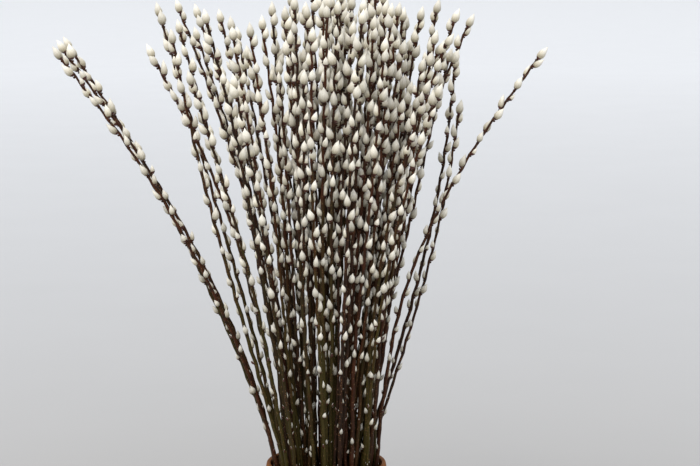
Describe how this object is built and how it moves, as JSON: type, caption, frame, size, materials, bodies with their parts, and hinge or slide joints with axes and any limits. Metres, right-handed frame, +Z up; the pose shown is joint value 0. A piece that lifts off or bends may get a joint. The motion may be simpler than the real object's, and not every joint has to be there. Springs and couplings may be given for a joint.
{
  "type": "vase of willow stems",
  "caption": "Bunch of cut pussy willow stems with silvery catkins, fanned out and standing in a plain round stoneware vase.",
  "frame": {"origin": "centre of the vase's flat underside", "axes": "+Z up along the vase's axis, -Y towards the front of the bunch, +X to its right"},
  "size_m": [0.5818, 0.26, 0.8628],
  "materials": {
    "willow_bark": "smooth satin bark, red-brown to olive",
    "stoneware": "fine matt caramel stoneware"
  },
  "bodies": {
    "root": {"far_left_stem_01": "willow_bark", "far_left_stem_02": "willow_bark", "far_left_stem_03": "willow_bark", "left_stem_01": "willow_bark", "left_stem_02": "willow_bark", "left_stem_03": "willow_bark", "left_stem_04": "willow_bark", "left_stem_05": "willow_bark", "left_stem_06": "willow_bark", "left_stem_07": "willow_bark", "left_stem_08": "willow_bark", "left_stem_09": "willow_bark", "left_stem_10": "willow_bark", "left_stem_11": "willow_bark", "left_stem_12": "willow_bark", "left_stem_13": "willow_bark", "lone_right_stem": "willow_bark", "middle_stem_01": "willow_bark", "middle_stem_02": "willow_bark", "middle_stem_03": "willow_bark", "middle_stem_04": "willow_bark", "middle_stem_05": "willow_bark", "middle_stem_06": "willow_bark", "middle_stem_07": "willow_bark", "middle_stem_08": "willow_bark", "middle_stem_09": "willow_bark", "middle_stem_10": "willow_bark", "middle_stem_11": "willow_bark", "middle_stem_12": "willow_bark", "middle_stem_13": "willow_bark", "middle_stem_14": "willow_bark", "middle_stem_15": "willow_bark", "middle_stem_16": "willow_bark", "middle_stem_17": "willow_bark", "middle_stem_18": "willow_bark", "middle_stem_19": "willow_bark", "middle_stem_20": "willow_bark", "middle_stem_21": "willow_bark", "middle_stem_22": "willow_bark", "middle_stem_23": "willow_bark", "middle_stem_24": "willow_bark", "middle_stem_25": "willow_bark", "middle_stem_26": "willow_bark", "middle_stem_27": "willow_bark", "middle_stem_28": "willow_bark", "middle_stem_29": "willow_bark", "middle_stem_30": "willow_bark", "middle_stem_31": "willow_bark", "right_stem_01": "willow_bark", "right_stem_02": "willow_bark", "right_stem_03": "willow_bark", "right_stem_04": "willow_bark", "right_stem_05": "willow_bark", "right_stem_06": "willow_bark", "right_stem_07": "willow_bark", "right_stem_08": "willow_bark", "right_stem_09": "willow_bark", "right_stem_10": "willow_bark", "vase": "stoneware"}
  },
  "joints": []
}
